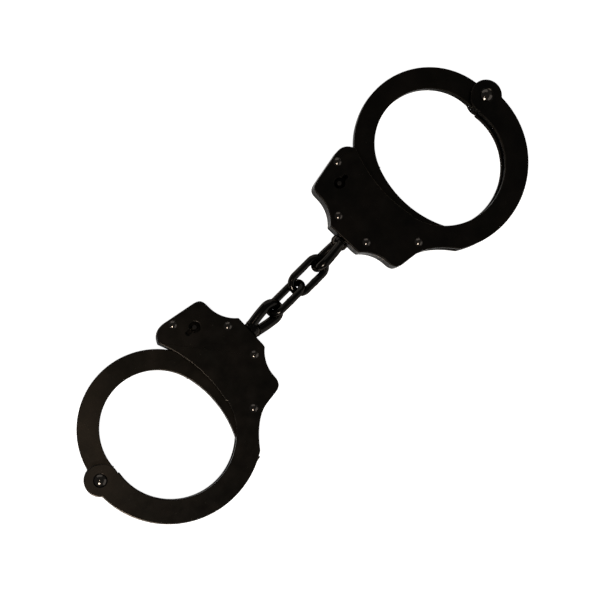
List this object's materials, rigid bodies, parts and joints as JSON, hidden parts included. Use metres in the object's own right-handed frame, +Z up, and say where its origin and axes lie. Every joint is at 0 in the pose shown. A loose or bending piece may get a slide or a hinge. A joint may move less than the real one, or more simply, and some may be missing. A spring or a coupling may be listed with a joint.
{
  "type": "handcuffs",
  "caption": "Swing-through ratchet handcuffs with double arms, toothed single strands, key lock cases, swivels and a short link chain.",
  "frame": {"origin": "on the resting plane, below the middle of the closed pair", "axes": "+X along the chain from the left cuff to the right cuff, +Y towards the single strands, +Z up, square to the cheek plates; the keyholes are in the top faces"},
  "size_m": [0.2384, 0.0772, 0.012],
  "materials": {
    "case_steel": "black satin",
    "strand_steel": "black satin, brown sheen",
    "chain_steel": "black gloss",
    "rivet_steel": "dark polished",
    "spring_steel": "blued"
  },
  "bodies": {
    "left_cuff": {"left_cheek_plate_top": "case_steel", "left_cheek_plate_bottom": "case_steel", "left_lock_frame": "case_steel", "left_pivot_rivet": "rivet_steel", "left_case_rivets": "rivet_steel", "left_pawl_rivet": "rivet_steel", "left_key_post": "rivet_steel", "left_pawl_spring": "spring_steel", "left_detent_spring": "spring_steel"},
    "left_strand": {"left_ratchet_strand": "strand_steel"},
    "left_pawl_arm": {"left_pawl": "strand_steel"},
    "left_bolt": {"left_double_lock_bolt": "strand_steel"},
    "left_swivel_eye": {"left_swivel": "chain_steel"},
    "left_link": {"left_chain_link": "chain_steel"},
    "right_cuff": {"right_cheek_plate_top": "case_steel", "right_cheek_plate_bottom": "case_steel", "right_lock_frame": "case_steel", "right_pivot_rivet": "rivet_steel", "right_case_rivets": "rivet_steel", "right_pawl_rivet": "rivet_steel", "right_key_post": "rivet_steel", "right_pawl_spring": "spring_steel", "right_detent_spring": "spring_steel"},
    "right_strand": {"right_ratchet_strand": "strand_steel"},
    "right_pawl_arm": {"right_pawl": "strand_steel"},
    "right_bolt": {"right_double_lock_bolt": "strand_steel"},
    "right_swivel_eye": {"right_swivel": "chain_steel"},
    "right_link": {"right_chain_link": "chain_steel"}
  },
  "joints": [
    {"name": "left_strand_pivot", "type": "hinge", "parent": "left_cuff", "child": "left_strand", "pos_m": [-0.11256, 0.00452, 0.006], "axis": [0, 0, 1], "continuous": true},
    {"name": "left_pawl_lift", "type": "hinge", "parent": "left_cuff", "child": "left_pawl_arm", "pos_m": [-0.04833, -0.01864, 0.006], "axis": [0, 0, 1], "range_deg": [-7.2, 0], "stiffness_Nm_per_rad": 0.05, "springref_deg": 8.59},
    {"name": "left_double_lock_slide", "type": "slide", "parent": "left_cuff", "child": "left_bolt", "axis": [0.0349, 0.9994, 0], "range_m": [0, 0.006]},
    {"name": "right_strand_pivot", "type": "hinge", "parent": "right_cuff", "child": "right_strand", "pos_m": [0.11256, 0.00452, 0.006], "axis": [0, 0, 1], "continuous": true},
    {"name": "right_pawl_lift", "type": "hinge", "parent": "right_cuff", "child": "right_pawl_arm", "pos_m": [0.04833, -0.01864, 0.006], "axis": [0, 0, -1], "range_deg": [-7.2, 0], "stiffness_Nm_per_rad": 0.05, "springref_deg": 8.59},
    {"name": "right_double_lock_slide", "type": "slide", "parent": "right_cuff", "child": "right_bolt", "axis": [-0.0349, 0.9994, 0], "range_m": [0, 0.006]},
    {"name": "left_swivel_spin", "type": "hinge", "parent": "left_cuff", "child": "left_swivel_eye", "pos_m": [-0.02702, 0.00423, 0.006], "axis": [0.9994, -0.0349, 0], "continuous": true},
    {"name": "left_link_swing", "type": "hinge", "parent": "left_swivel_eye", "child": "left_link", "pos_m": [-0.01153, 0.00369, 0.006], "axis": [0.0286, 0.8187, 0.5736], "range_deg": [-75, 75]},
    {"name": "link_to_link_swing", "type": "hinge", "parent": "left_link", "child": "right_link", "pos_m": [0.00183, 0.00369, 0.006], "axis": [0, 0.2756, -0.9613], "range_deg": [-75, 75]},
    {"name": "right_link_swing", "type": "hinge", "parent": "right_link", "child": "right_swivel_eye", "pos_m": [0.01528, 0.00369, 0.006], "axis": [0, -0.9613, -0.2756], "range_deg": [-75, 75]},
    {"name": "right_swivel_spin", "type": "hinge", "parent": "right_swivel_eye", "child": "right_cuff", "pos_m": [0.02702, 0.00423, 0.006], "axis": [-0.9994, -0.0349, 0], "continuous": true}
  ]
}
